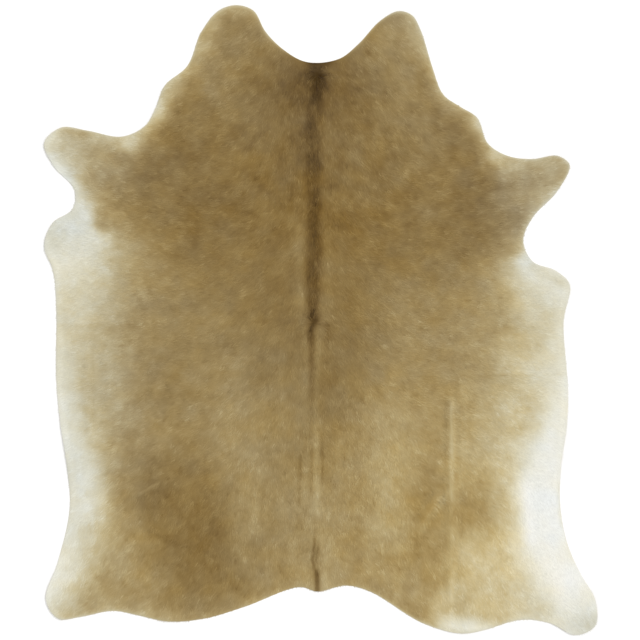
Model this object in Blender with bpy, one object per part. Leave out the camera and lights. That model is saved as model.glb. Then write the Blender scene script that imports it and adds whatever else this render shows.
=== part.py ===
"""A hair-on cowhide rug lying on the floor: one uncut skin with its coat grown on it.

Metres, +Z up. The origin is on the floor under the middle of the rug, +Y points to the neck
and +X to the right foreleg when the coat faces up. Tables and sizes are in millimetres.

The skin is one closed sheet. Its outline is a smooth closed curve through named places on
the hide. Its underside lies on the floor and rises only under the soft creases and lifted
edges. Its coat side follows the same rises, one coat's thickness higher.
"""

import math

import bmesh
import bpy
import numpy as np
from mathutils import Vector
from mathutils.geometry import delaunay_2d_cdt

MM = 0.001

# Thickness of the tanned skin, and of the coat that lies on it
SKIN = 2.4
COAT_ON_BELLY = 1.4
COAT_ON_BACK = 3.0
COAT_ON_SPINE = 1.6
COAT_ON_WHORL = 1.2
BELLY_BAND = 240.0

# The rim, where the coat thins out and the cut edge is slightly round
RIM_ROUNDING = 1.2
RIM_THICKNESS = 2.8
RIM_TAPER = 28.0

# Spacing of the points that the sheet is made of, and how clear rows stay of each other
EDGE_STEP = 19.0
FIELD_STEP = 44.0
CREASE_STEP = 24.0
CURVE_STEPS = 40
INNER_RING = 17.0
CLEAR_OF_RIM = 32.0
CLEAR_OF_CREASE = 24.0
CLEAR_IN_CREASE = 12.0
ROWS_ACROSS = (0, -0.5, 0.5, -1, 1)

# The outline, clockwise from the middle of the neck
OUTLINE = (
    # place, x, y
    ("neck notch", -50, 870),
    ("neck notch right", 55, 880),
    ("right flap inner root", 120, 930),
    ("right flap inner side", 190, 1005),
    ("right flap tip", 255, 1040),
    ("right flap crown", 305, 1025),
    ("right flap outer side", 335, 975),
    ("right flap outer root", 375, 850),
    ("right neck hollow", 410, 760),
    ("right neck", 465, 720),
    ("right shoulder", 525, 680),
    ("right shoulder hollow", 560, 595),
    ("right foreleg root", 625, 555),
    ("right foreleg front", 705, 545),
    ("right foreleg toe front", 790, 555),
    ("right foreleg toe", 835, 520),
    ("right foreleg back", 790, 425),
    ("right elbow", 710, 340),
    ("right armpit", 680, 265),
    ("right armpit corner", 710, 200),
    ("right flank top", 785, 170),
    ("right flank corner", 835, 120),
    ("right flank", 815, -5),
    ("right belly", 830, -235),
    ("right belly middle", 825, -355),
    ("right belly low", 805, -500),
    ("right hind knee", 805, -635),
    ("right hind knee back", 830, -755),
    ("right hind shank upper", 875, -855),
    ("right hind shank", 920, -935),
    ("right hind toe back", 920, -1025),
    ("right hind toe", 850, -1060),
    ("right hind toe inner", 760, -1020),
    ("right rump hollow", 665, -1010),
    ("right rump", 540, -1045),
    ("right rump lobe", 465, -1055),
    ("right rump inner", 335, -1020),
    ("right of tail", 160, -915),
    ("right tail root", 80, -895),
    ("tail point", -15, -915),
    ("left tail root", -75, -900),
    ("left of tail", -255, -965),
    ("left rump", -390, -1005),
    ("left rump outer", -515, -1015),
    ("left rump outer end", -615, -995),
    ("left rump hollow", -700, -980),
    ("left hind toe inner", -810, -1000),
    ("left hind toe", -885, -1005),
    ("left hind toe back", -930, -935),
    ("left hind shank", -890, -810),
    ("left hind knee", -850, -630),
    ("left belly low", -860, -485),
    ("left belly middle", -880, -355),
    ("left belly", -895, -200),
    ("left flank", -895, 35),
    ("left flank top", -905, 160),
    ("left flank corner", -935, 250),
    ("left armpit corner", -905, 330),
    ("left armpit", -840, 375),
    ("left elbow", -835, 435),
    ("left foreleg back", -905, 515),
    ("left foreleg toe", -935, 595),
    ("left foreleg toe front", -875, 650),
    ("left foreleg front", -785, 640),
    ("left foreleg root", -670, 620),
    ("left shoulder", -595, 655),
    ("left neck hollow", -565, 705),
    ("left neck", -530, 790),
    ("left neck upper", -455, 855),
    ("left flap outer side", -410, 965),
    ("left flap crown", -350, 1040),
    ("left flap tip", -285, 1060),
    ("left flap inner side", -225, 1040),
    ("left flap inner root", -185, 970),
    ("left neck notch", -125, 910),
)

# Soft creases left from folding and stretching: each runs from one end to the other with a
# sideways bow, has a height and a half width, and swells and sinks along its length
CREASES = (
    # name, x from, y from, x to, y to, bow, height, half width, swells
    ("right long fold", 434, -215, 430, -1010, 7, 4.6, 36, 3.0),
    ("right slanting crease", 418, -560, 322, -705, -10, 3.6, 30, 1.0),
    ("right cross crease", 425, -182, 800, -196, 10, 3.0, 32, 2.0),
    ("right upper cross crease", 600, -22, 780, -30, 6, 2.4, 28, 1.0),
    ("left cross crease", -850, -18, -600, -14, 8, 2.6, 30, 1.5),
    ("left flank crease", -775, -70, -765, -400, 14, 3.0, 44, 1.5),
    ("left side crease", -528, -40, -535, -330, -10, 2.4, 40, 1.0),
    ("left loin crease", -418, -40, -412, -330, 8, 2.2, 38, 1.0),
    ("neck wrinkle", -70, 822, 75, 826, 5, 1.6, 22, 1.0),
    ("left rump scar", -650, -592, -530, -538, 6, 2.0, 24, 1.0),
    ("left rump second scar", -580, -675, -425, -752, -5, 1.8, 26, 1.0),
)

# How much a crease's height comes and goes, and how narrow it ends, as shares of the whole
CREASE_UNEVENNESS = 0.3
CREASE_END_WIDTH = 0.45

# Places at the rim that curl a little off the floor
LIFTS = (
    # name, x, y, reach, height
    ("left neck flap", -320, 1080, 190, 4.5),
    ("right neck flap", 300, 1060, 180, 5.0),
    ("left shoulder", -600, 700, 150, 3.5),
    ("right shoulder", 550, 690, 150, 3.0),
    ("left foreleg", -960, 620, 210, 6.0),
    ("right foreleg", 865, 540, 200, 7.0),
    ("left flank corner", -960, 260, 170, 5.0),
    ("right flank corner", 870, 130, 160, 4.5),
    ("left belly", -910, -420, 200, 6.0),
    ("right belly", 860, -430, 210, 6.5),
    ("left hind shank", -960, -990, 240, 7.0),
    ("right hind shank", 950, -1040, 250, 8.0),
    ("left rump", -520, -1050, 160, 3.0),
    ("right rump", 470, -1090, 170, 4.0),
    ("tail root", 0, -940, 110, 2.5),
)

# The spine's ridge of longer hair: its route, its half width and how it swells
SPINE_TOP = (-12, 850)
SPINE_WHORL = (-24, -10)
SPINE_TAIL = (-22, -905)
SPINE_HALF_WIDTH = 40.0
SPINE_SWELL = 70.0
SPINE_UNEVENNESS = 0.25
WHORL_REACH = 60.0


def smooth_closed_curve(places, steps):
    """A centripetal Catmull-Rom curve: between two places each stretch is a cubic whose end
    slopes come from the places before and after, weighted by the square root of their
    distances, so tight tips and long flanks both stay smooth."""
    here = np.array(places, float)
    before, after, beyond = (np.roll(here, shift, axis=0) for shift in (1, -1, -2))

    def span(a, b):
        return np.sqrt(np.linalg.norm(b - a, axis=1))[:, None]

    first, middle, last = span(before, here), span(here, after), span(after, beyond)
    slope_here = middle * (
        (here - before) / first - (after - before) / (first + middle) + (after - here) / middle
    )
    slope_after = middle * (
        (after - here) / middle - (beyond - here) / (middle + last) + (beyond - after) / last
    )
    t = np.linspace(0, 1, steps, endpoint=False)[None, :, None]
    curve = (
        (2 * t**3 - 3 * t**2 + 1) * here[:, None]
        + (t**3 - 2 * t**2 + t) * slope_here[:, None]
        + (3 * t**2 - 2 * t**3) * after[:, None]
        + (t**3 - t**2) * slope_after[:, None]
    )
    return curve.reshape(-1, 2)


def even_steps(curve, step):
    """Points one step apart along a closed curve."""
    closed = np.vstack([curve, curve[:1]])
    lengths = np.r_[0, np.cumsum(np.linalg.norm(np.diff(closed, axis=0), axis=1))]
    count = round(lengths[-1] / step)
    at = np.linspace(0, lengths[-1], count, endpoint=False)
    return np.column_stack([np.interp(at, lengths, closed[:, axis]) for axis in (0, 1)])


def moved_inwards(loop, distance):
    """A clockwise closed loop moved to its right-hand side, square to its own direction."""
    along = np.roll(loop, -1, axis=0) - np.roll(loop, 1, axis=0)
    along /= np.linalg.norm(along, axis=1)[:, None]
    return loop + distance * np.column_stack([along[:, 1], -along[:, 0]])


def hide_outline():
    """The outline with the middle of its box at the origin."""
    curve = smooth_closed_curve([row[1:] for row in OUTLINE], CURVE_STEPS)
    curve -= (curve.min(axis=0) + curve.max(axis=0)) / 2
    return even_steps(curve, EDGE_STEP)


def distance_to_loop(points, loop):
    """How far each point is from the nearest point of a finely stepped loop."""
    gaps = points[:, None, :] - loop[None, :, :]
    return np.sqrt((gaps**2).sum(axis=2)).min(axis=1)


def inside_loop(points, loop):
    """Whether each point is inside: a ray to its right crosses the loop an odd number of times."""
    ends = np.roll(loop, -1, axis=0)
    x, y = points[:, :1], points[:, 1:]
    spans = (loop[None, :, 1] > y) != (ends[None, :, 1] > y)
    rise = np.where(spans, ends[None, :, 1] - loop[None, :, 1], 1)
    crossing = loop[None, :, 0] + (y - loop[None, :, 1]) * (ends[:, 0] - loop[:, 0]) / rise
    return (spans & (x < crossing)).sum(axis=1) % 2 == 1


def hump(distance):
    """1 in the middle, falling along a cosine to 0 at a distance of 1, and 0 beyond."""
    return 0.5 + 0.5 * np.cos(math.pi * np.minimum(np.abs(distance), 1))


def run_of(crease):
    """A crease's start, the direction of its chord, and the chord's length."""
    _, x_from, y_from, x_to, y_to, *_ = crease
    run = np.array([x_to - x_from, y_to - y_from], float)
    length = np.linalg.norm(run)
    return np.array([x_from, y_from]), run / length, length


def bowed(bow, along):
    """How far the crest stands to the left of its chord: a parabola, bow high in the middle."""
    return bow * 4 * along * (1 - along)


def crease_frame(crease, x, y):
    """How far along a crease each point is, from 0 to 1, and how far to the left of its crest."""
    start, run, length = run_of(crease)
    along = ((x - start[0]) * run[0] + (y - start[1]) * run[1]) / length
    side = (y - start[1]) * run[0] - (x - start[0]) * run[1]
    return along, side - bowed(crease[5], along)


def floor_gap(x, y):
    """The height of the underside over the floor: the creases and the lifted edges, and 0
    wherever none of them reaches."""
    gap = np.zeros_like(x)
    for crease in CREASES:
        height, half_width, swells = crease[6:]
        along, side = crease_frame(crease, x, y)
        fade = np.sin(math.pi * np.clip(along, 0, 1))
        swell = 1 + CREASE_UNEVENNESS * np.sin(2 * math.pi * swells * along + half_width)
        width = half_width * (CREASE_END_WIDTH + (1 - CREASE_END_WIDTH) * fade)
        gap += height * swell * fade * hump(side / width)
    for _, x_lift, y_lift, reach, height in LIFTS:
        gap += height * hump(np.hypot(x - x_lift, y - y_lift) / reach)
    return gap


def spine_x(y):
    """Where the spine crosses each y: it runs from the neck over the whorl to the tail."""
    xs, ys = zip(SPINE_TAIL, SPINE_WHORL, SPINE_TOP, strict=True)
    return np.interp(y, ys, xs)


def coat_side(x, y, from_rim):
    """The thickness of skin and coat: full on the back, thin on the belly, with a low ridge
    of longer hair on the spine and a knot of hair at the whorl, thinning out at the rim."""
    side = x - spine_x(y)
    back = hump(np.clip(1 - from_rim / BELLY_BAND, 0, 1))
    coat = COAT_ON_BELLY + (COAT_ON_BACK - COAT_ON_BELLY) * back
    swell = 1 - SPINE_UNEVENNESS * (1 - np.sin(y / SPINE_SWELL))
    coat += COAT_ON_SPINE * swell * hump(side / SPINE_HALF_WIDTH)
    coat += COAT_ON_WHORL * hump(np.hypot(x - SPINE_WHORL[0], y - SPINE_WHORL[1]) / WHORL_REACH)
    taper = 1 - hump(from_rim / RIM_TAPER)
    return RIM_THICKNESS + (SKIN + coat - RIM_THICKNESS) * taper


def crease_points():
    """Rows of points on the crest, half way down and along the feet of every crease."""
    rows = []
    for crease in CREASES:
        bow, _, half_width, _ = crease[5:]
        start, run, length = run_of(crease)
        along = np.linspace(0, 1, round(length / CREASE_STEP) + 1)
        chord = start + along[:, None] * length * run
        to_left = np.array([-run[1], run[0]])
        for side in ROWS_ACROSS:
            offset = bowed(bow, along) + side * half_width
            rows.append(chord + offset[:, None] * to_left)
    return np.vstack(rows)


def spine_points(loop):
    """Rows of points along the spine's ridge."""
    ys = np.arange(loop[:, 1].min(), SPINE_TOP[1], CREASE_STEP)
    xs = spine_x(ys)
    sides = [side * SPINE_HALF_WIDTH for side in ROWS_ACROSS]
    return np.vstack([np.column_stack([xs + side, ys]) for side in sides])


def field_points(loop):
    """A field of points in staggered rows over the whole box of the hide."""
    row_step = FIELD_STEP * math.sqrt(3) / 2
    low, high = loop.min(axis=0), loop.max(axis=0)
    ys = np.arange(low[1], high[1], row_step)
    xs = np.arange(low[0], high[0], FIELD_STEP)
    grid_x, grid_y = np.meshgrid(xs, ys)
    grid_x = grid_x + (np.arange(len(ys)) % 2)[:, None] * FIELD_STEP / 2
    return np.column_stack([grid_x.ravel(), grid_y.ravel()])


def thinned(points, keep_clear, clearance):
    """The points that stay clear of others that are already placed."""
    return points[distance_to_loop(points, keep_clear) > clearance]


def thinned_rows(points, clearance):
    """The points in their own order, without those too near one kept before."""
    kept = []
    for point in points:
        if not kept or np.hypot(*(np.array(kept) - point).T).min() > clearance:
            kept.append(point)
    return np.array(kept)


def sheet_points(loop):
    """The rim loop first, then a ring just inside it, the creases, the spine and the field."""
    ring = moved_inwards(loop, INNER_RING)[::2]
    rows = thinned_rows(np.vstack([crease_points(), spine_points(loop)]), CLEAR_IN_CREASE)
    rows = thinned(rows[inside_loop(rows, loop)], loop, CLEAR_OF_RIM)
    field = field_points(loop)
    field = thinned(field[inside_loop(field, loop)], loop, CLEAR_OF_RIM)
    field = thinned(field, rows, CLEAR_OF_CREASE)
    return np.vstack([loop, ring, rows, field])


def triangles(points, loop_count):
    """The triangles between all the points, inside the loop."""
    corners, _, faces, *_ = delaunay_2d_cdt(
        [Vector(point) for point in points], [], [list(range(loop_count))], 1, 1e-6
    )
    return np.array([tuple(corner) for corner in corners]), faces


def hide_mesh():
    """Both sides of the sheet from one set of triangles, joined by a rounded rim."""
    rim = hide_outline()
    loop = moved_inwards(rim, RIM_ROUNDING)
    flat, faces = triangles(sheet_points(loop), len(loop))
    x, y = flat.T
    under = floor_gap(x, y)
    over = under + coat_side(x, y, distance_to_loop(flat, loop))
    middle = floor_gap(*rim.T) + RIM_THICKNESS / 2
    points = np.vstack(
        [
            np.column_stack([x, y, under]),
            np.column_stack([x, y, over]),
            np.column_stack([rim, middle]),
        ]
    )
    shape = bmesh.new()
    corners = [shape.verts.new(point * MM) for point in points]
    count = len(flat)
    for face in faces:
        shape.faces.new([corners[i] for i in reversed(face)])
        shape.faces.new([corners[i + count] for i in face])
    for i in range(len(rim)):
        j = (i + 1) % len(rim)
        shape.faces.new([corners[k] for k in (i, j, 2 * count + j, 2 * count + i)])
        shape.faces.new([corners[k] for k in (2 * count + i, 2 * count + j, count + j, count + i)])
    bmesh.ops.triangulate(shape, faces=shape.faces[:])
    bmesh.ops.recalc_face_normals(shape, faces=shape.faces[:])
    mesh = bpy.data.meshes.new("hide")
    shape.to_mesh(mesh)
    shape.free()
    mesh.shade_smooth()
    return mesh


def coat_material():
    """Short tan cow hair over tanned skin: matt, with a slight sheen."""
    material = bpy.data.materials.new("tan cow hair")
    material.use_nodes = True
    surface = material.node_tree.nodes["Principled BSDF"]
    surface.inputs["Base Color"].default_value = (0.36, 0.27, 0.14, 1)
    surface.inputs["Roughness"].default_value = 0.75
    surface.inputs["Metallic"].default_value = 0.0
    surface.inputs["Sheen Weight"].default_value = 0.2
    return material


def build():
    for thing in list(bpy.data.objects):
        bpy.data.objects.remove(thing, do_unlink=True)
    hide = bpy.data.objects.new("hide", hide_mesh())
    hide.data.materials.append(coat_material())
    bpy.context.scene.collection.objects.link(hide)


build()
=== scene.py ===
# %% [markdown]
# # A hair-on cowhide rug
#
# The real thing is one whole cow skin. A tannery cures it with its hair left on, pegs it flat to
# dry and trims its edge, and it lies on a floor with the hair up. Nothing is sewn to it, and
# nothing backs it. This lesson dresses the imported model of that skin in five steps: a camera
# straight above it, the skin's own shape, the colours of the coat, the short hair itself, and the
# finishes and light. Sizes and places are in millimetres, x to the right foreleg and y to the
# neck, and only a finished mesh is in metres.

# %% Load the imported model
import math

import bpy
import numpy as np
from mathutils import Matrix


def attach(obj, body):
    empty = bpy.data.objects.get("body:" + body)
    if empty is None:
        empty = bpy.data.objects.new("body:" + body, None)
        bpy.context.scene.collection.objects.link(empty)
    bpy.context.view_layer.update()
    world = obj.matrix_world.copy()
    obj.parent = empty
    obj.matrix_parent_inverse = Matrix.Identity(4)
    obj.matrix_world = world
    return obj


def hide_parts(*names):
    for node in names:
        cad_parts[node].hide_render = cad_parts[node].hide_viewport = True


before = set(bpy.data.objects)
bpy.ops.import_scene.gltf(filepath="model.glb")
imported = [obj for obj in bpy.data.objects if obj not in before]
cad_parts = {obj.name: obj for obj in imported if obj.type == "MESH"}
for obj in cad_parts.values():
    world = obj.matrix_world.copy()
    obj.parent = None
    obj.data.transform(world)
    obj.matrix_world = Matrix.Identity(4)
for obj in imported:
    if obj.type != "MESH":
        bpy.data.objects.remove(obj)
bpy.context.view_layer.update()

MM = 0.001

# %% [markdown]
# ## The camera
#
# A rug is shown best from straight above, from so far off that its legs aren't stretched. A
# camera with a long lens does that. How far away it stands follows from the width of floor that
# the picture takes in, by similar triangles: distance is to lens as floor is to sensor.

# %% A camera straight above the rug
LENS = 100.0
SENSOR_WIDTH = 36.0
FLOOR_IN_VIEW = 2144.0
VIEW_CENTRE = (-2.2, 0.2)
COAT_HEIGHT = 5.0


def overhead_camera():
    """A camera that looks straight down, its distance worked out from the floor in view."""
    data = bpy.data.cameras.new("overhead")
    data.lens = LENS
    data.sensor_width = SENSOR_WIDTH
    camera = bpy.data.objects.new("overhead_camera", data)
    height = COAT_HEIGHT + FLOOR_IN_VIEW * LENS / SENSOR_WIDTH
    camera.location = (VIEW_CENTRE[0] * MM, VIEW_CENTRE[1] * MM, height * MM)
    bpy.context.scene.collection.objects.link(camera)
    return camera


bpy.context.scene.camera = overhead_camera()
print("camera height in metres:", round(bpy.context.scene.camera.location.z, 3))

# %% [markdown]
# ## The outline
#
# The outline is the skin of the legs, neck and flanks, cut open along the belly and spread out.
# It could be an image that is traced, or a mesh that is pulled about by hand. Here it is a list
# of places that a tanner could name, and a smooth curve through them, so that moving one place
# reshapes its neighbourhood and nothing else.

# %% Places round the hide, clockwise from the middle of the neck
CURVE_STEPS = 40
OUTLINE = (
    # place, x, y
    ("neck notch", -50, 870),
    ("neck notch right", 55, 880),
    ("right flap inner root", 120, 930),
    ("right flap inner side", 190, 1005),
    ("right flap tip", 255, 1040),
    ("right flap crown", 305, 1025),
    ("right flap outer side", 335, 975),
    ("right flap outer root", 375, 850),
    ("right neck hollow", 410, 760),
    ("right neck", 465, 720),
    ("right shoulder", 525, 680),
    ("right shoulder hollow", 560, 595),
    ("right foreleg root", 625, 555),
    ("right foreleg front", 705, 545),
    ("right foreleg toe front", 790, 555),
    ("right foreleg toe", 835, 520),
    ("right foreleg back", 790, 425),
    ("right elbow", 710, 340),
    ("right armpit", 680, 265),
    ("right armpit corner", 710, 200),
    ("right flank top", 785, 170),
    ("right flank corner", 835, 120),
    ("right flank", 815, -5),
    ("right belly", 830, -235),
    ("right belly middle", 825, -355),
    ("right belly low", 805, -500),
    ("right hind knee", 805, -635),
    ("right hind knee back", 830, -755),
    ("right hind shank upper", 875, -855),
    ("right hind shank", 920, -935),
    ("right hind toe back", 920, -1025),
    ("right hind toe", 850, -1060),
    ("right hind toe inner", 760, -1020),
    ("right rump hollow", 665, -1010),
    ("right rump", 540, -1045),
    ("right rump lobe", 465, -1055),
    ("right rump inner", 335, -1020),
    ("right of tail", 160, -915),
    ("right tail root", 80, -895),
    ("tail point", -15, -915),
    ("left tail root", -75, -900),
    ("left of tail", -255, -965),
    ("left rump", -390, -1005),
    ("left rump outer", -515, -1015),
    ("left rump outer end", -615, -995),
    ("left rump hollow", -700, -980),
    ("left hind toe inner", -810, -1000),
    ("left hind toe", -885, -1005),
    ("left hind toe back", -930, -935),
    ("left hind shank", -890, -810),
    ("left hind knee", -850, -630),
    ("left belly low", -860, -485),
    ("left belly middle", -880, -355),
    ("left belly", -895, -200),
    ("left flank", -895, 35),
    ("left flank top", -905, 160),
    ("left flank corner", -935, 250),
    ("left armpit corner", -905, 330),
    ("left armpit", -840, 375),
    ("left elbow", -835, 435),
    ("left foreleg back", -905, 515),
    ("left foreleg toe", -935, 595),
    ("left foreleg toe front", -875, 650),
    ("left foreleg front", -785, 640),
    ("left foreleg root", -670, 620),
    ("left shoulder", -595, 655),
    ("left neck hollow", -565, 705),
    ("left neck", -530, 790),
    ("left neck upper", -455, 855),
    ("left flap outer side", -410, 965),
    ("left flap crown", -350, 1040),
    ("left flap tip", -285, 1060),
    ("left flap inner side", -225, 1040),
    ("left flap inner root", -185, 970),
    ("left neck notch", -125, 910),
)
PLACES = [row[0] for row in OUTLINE]


def smooth_closed_curve(places, steps):
    """A centripetal Catmull-Rom curve: between two places each stretch is a cubic whose end
    slopes come from the places before and after, weighted by the square root of their
    distances, so tight tips and long flanks both stay smooth."""
    here = np.array(places, float)
    before, after, beyond = (np.roll(here, shift, axis=0) for shift in (1, -1, -2))

    def span(a, b):
        return np.sqrt(np.linalg.norm(b - a, axis=1))[:, None]

    first, middle, last = span(before, here), span(here, after), span(after, beyond)
    slope_here = middle * (
        (here - before) / first - (after - before) / (first + middle) + (after - here) / middle
    )
    slope_after = middle * (
        (after - here) / middle - (beyond - here) / (middle + last) + (beyond - after) / last
    )
    t = np.linspace(0, 1, steps, endpoint=False)[None, :, None]
    curve = (
        (2 * t**3 - 3 * t**2 + 1) * here[:, None]
        + (t**3 - 2 * t**2 + t) * slope_here[:, None]
        + (3 * t**2 - 2 * t**3) * after[:, None]
        + (t**3 - t**2) * slope_after[:, None]
    )
    return curve.reshape(-1, 2)


CURVE = smooth_closed_curve([row[1:] for row in OUTLINE], CURVE_STEPS)
CURVE -= (CURVE.min(axis=0) + CURVE.max(axis=0)) / 2
print("outline:", len(OUTLINE), "places, box", np.ptp(CURVE, axis=0).round(1), "mm")

# %% [markdown]
# The outline is as far as the hair reaches. It hangs a few millimetres over the cut edge of the
# skin, and much of what follows depends on how far a point is from that edge: the coat thins
# towards it, and its last hairs are paler. So the curve is walked at an even pace, and two
# helpers say how far a point is from the cut edge and whether it is inside the outline. Both
# work on whole arrays, a batch of points at a time so that they fit in memory.

# %% An even walk round the rim, distance from the cut edge, and inside or outside
RIM_STEP = 12.0
FRINGE = 5.0
BATCH = 6000


def curve_lengths():
    """How far each point of the curve is along it, and the closed curve itself."""
    closed = np.vstack([CURVE, CURVE[:1]])
    steps = np.linalg.norm(np.diff(closed, axis=0), axis=1)
    return np.concatenate([[0], np.cumsum(steps)]), closed


RIM_LENGTHS, CLOSED_CURVE = curve_lengths()


def on_rim(length):
    """The point that lies this length along the outline, going round again past its end."""
    along = np.mod(length, RIM_LENGTHS[-1])
    return np.stack([np.interp(along, RIM_LENGTHS, CLOSED_CURVE[:, i]) for i in (0, 1)], axis=-1)


RIM = on_rim(np.linspace(0, RIM_LENGTHS[-1], round(RIM_LENGTHS[-1] / RIM_STEP), endpoint=False))


def in_batches(measure, x, y):
    """What a function of x and y gives, worked out for one batch of points after another."""
    parts = np.array_split(np.arange(x.size), max(1, x.size // BATCH))
    flat_x, flat_y = x.ravel(), y.ravel()
    return np.concatenate([measure(flat_x[p], flat_y[p]) for p in parts]).reshape(x.shape)


def edge_distance(x, y):
    """How far inside the cut edge each point is: the least of its distances from the rim's
    straight steps, each measured at the nearest point of that step, less the fringe of hair."""
    start, run = RIM, np.roll(RIM, -1, axis=0) - RIM
    across, up = x[:, None] - start[:, 0], y[:, None] - start[:, 1]
    t = np.clip((across * run[:, 0] + up * run[:, 1]) / (run**2).sum(axis=1), 0, 1)
    return np.hypot(across - t * run[:, 0], up - t * run[:, 1]).min(axis=1) - FRINGE


def is_inside(x, y):
    """Whether each point is inside: a ray to its right crosses the rim an odd number of times."""
    start, end = RIM, np.roll(RIM, -1, axis=0)
    spans = (start[:, 1] > y[:, None]) != (end[:, 1] > y[:, None])
    rise = np.where(start[:, 1] == end[:, 1], 1, end[:, 1] - start[:, 1])
    crossing = start[:, 0] + (y[:, None] - start[:, 1]) * (end[:, 0] - start[:, 0]) / rise
    return (spans & (x[:, None] < crossing)).sum(axis=1) % 2 == 1


print("rim:", len(RIM), "steps,", round(RIM_LENGTHS[-1]), "mm round")

# %% [markdown]
# ## Folds and thickness
#
# A hide that came out of a parcel keeps soft creases where it was folded, and its thin edges
# curl a little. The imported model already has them, so the same rows are used here, and the
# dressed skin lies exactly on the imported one.

# %% Creases and lifted edges
CREASES = (
    # name, x from, y from, x to, y to, bow, height, half width, swells
    ("right long fold", 434, -215, 430, -1010, 7, 4.6, 36, 3.0),
    ("right slanting crease", 418, -560, 322, -705, -10, 3.6, 30, 1.0),
    ("right cross crease", 425, -182, 800, -196, 10, 3.0, 32, 2.0),
    ("right upper cross crease", 600, -22, 780, -30, 6, 2.4, 28, 1.0),
    ("left cross crease", -850, -18, -600, -14, 8, 2.6, 30, 1.5),
    ("left flank crease", -775, -70, -765, -400, 14, 3.0, 44, 1.5),
    ("left side crease", -528, -40, -535, -330, -10, 2.4, 40, 1.0),
    ("left loin crease", -418, -40, -412, -330, 8, 2.2, 38, 1.0),
    ("neck wrinkle", -70, 822, 75, 826, 5, 1.6, 22, 1.0),
    ("left rump scar", -650, -592, -530, -538, 6, 2.0, 24, 1.0),
    ("left rump second scar", -580, -675, -425, -752, -5, 1.8, 26, 1.0),
)
CREASE_UNEVENNESS = 0.3
CREASE_END_WIDTH = 0.45
LIFTS = (
    # name, x, y, reach, height
    ("left neck flap", -320, 1080, 190, 4.5),
    ("right neck flap", 300, 1060, 180, 5.0),
    ("left shoulder", -600, 700, 150, 3.5),
    ("right shoulder", 550, 690, 150, 3.0),
    ("left foreleg", -960, 620, 210, 6.0),
    ("right foreleg", 865, 540, 200, 7.0),
    ("left flank corner", -960, 260, 170, 5.0),
    ("right flank corner", 870, 130, 160, 4.5),
    ("left belly", -910, -420, 200, 6.0),
    ("right belly", 860, -430, 210, 6.5),
    ("left hind shank", -960, -990, 240, 7.0),
    ("right hind shank", 950, -1040, 250, 8.0),
    ("left rump", -520, -1050, 160, 3.0),
    ("right rump", 470, -1090, 170, 4.0),
    ("tail root", 0, -940, 110, 2.5),
)


def hump(distance):
    """1 in the middle, falling along a cosine to 0 at a distance of 1, and 0 beyond."""
    return 0.5 + 0.5 * np.cos(math.pi * np.minimum(np.abs(distance), 1))


def floor_gap(x, y):
    """The height of the underside over the floor: each crease is a cosine ridge across its
    bowed line that rises and falls along it, and each lift is a round cosine hill."""
    gap = np.zeros_like(x)
    for _, x_from, y_from, x_to, y_to, bow, height, half_width, swells in CREASES:
        length = math.hypot(x_to - x_from, y_to - y_from)
        run_x, run_y = (x_to - x_from) / length, (y_to - y_from) / length
        along = ((x - x_from) * run_x + (y - y_from) * run_y) / length
        side = (y - y_from) * run_x - (x - x_from) * run_y - bow * 4 * along * (1 - along)
        fade = np.sin(math.pi * np.clip(along, 0, 1))
        swell = 1 + CREASE_UNEVENNESS * np.sin(2 * math.pi * swells * along + half_width)
        width = half_width * (CREASE_END_WIDTH + (1 - CREASE_END_WIDTH) * fade)
        gap += height * swell * fade * hump(side / width)
    for _, x_lift, y_lift, reach, height in LIFTS:
        gap += height * hump(np.hypot(x - x_lift, y - y_lift) / reach)
    return gap


print("creases:", len(CREASES), "lifted edges:", len(LIFTS))

# %% [markdown]
# Over the floor's gap come 2.4 mm of skin and the hair that lies on it. A cow's coat is deepest
# along the spine and thin on the belly, and towards the cut edge both thin down to the rim. So
# the depth of the hair is a function of place, too.

# %% How deep the skin and its coat are
SPINE = (
    # y, x
    (850, -12),
    (-10, -24),
    (-905, -22),
)
SPINE_HALF_WIDTH = 40.0
SPINE_SWELL = 70.0
SPINE_UNEVENNESS = 0.25
WHORL = (-24, -10)
WHORL_REACH = 60.0
SKIN = 2.4
COAT_ON_BELLY = 1.4
COAT_ON_BACK = 3.0
COAT_ON_SPINE = 1.6
COAT_ON_WHORL = 1.2
BELLY_BAND = 240.0
RIM_THICKNESS = 2.8
RIM_TAPER = 28.0


def by_height(y, rows, column=1):
    """A column of a table at each y, along a straight line from each row to the next. The
    table's rows run from the neck to the tail, and each starts with its height."""
    heights = [row[0] for row in reversed(rows)]
    return np.interp(y, heights, [row[column] for row in reversed(rows)])


def coat_depth(x, y, from_edge):
    """How deep the lying hair is: full on the back, thin on the belly, with a low ridge on the
    spine and a knot at the whorl."""
    back = hump(np.clip(1 - from_edge / BELLY_BAND, 0, 1))
    swell = 1 - SPINE_UNEVENNESS * (1 - np.sin(y / SPINE_SWELL))
    depth = COAT_ON_BELLY + (COAT_ON_BACK - COAT_ON_BELLY) * back
    depth += COAT_ON_SPINE * swell * hump((x - by_height(y, SPINE)) / SPINE_HALF_WIDTH)
    depth += COAT_ON_WHORL * hump(np.hypot(x - WHORL[0], y - WHORL[1]) / WHORL_REACH)
    return depth


def top_height(x, y, from_edge, share):
    """The height of the coat side with this share of the hair's depth on it, thinning at the
    cut edge along half a cosine."""
    taper = 1 - hump(np.maximum(from_edge, 0) / RIM_TAPER)
    full = SKIN + share * coat_depth(x, y, from_edge)
    return floor_gap(x, y) + RIM_THICKNESS + (full - RIM_THICKNESS) * taper


print("coat on the back in mm:", COAT_ON_BACK, "and on the belly:", COAT_ON_BELLY)

# %% [markdown]
# ## The skin
#
# The skin is one closed sheet. A rectangular grid cut by the outline would have a jagged edge,
# and a fan of triangles from the middle would be coarse at the legs. So a square grid is drawn
# out to the cut edge: each square ring of it becomes a smaller copy of the outline, with the
# square's four corners at the four feet.

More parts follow.
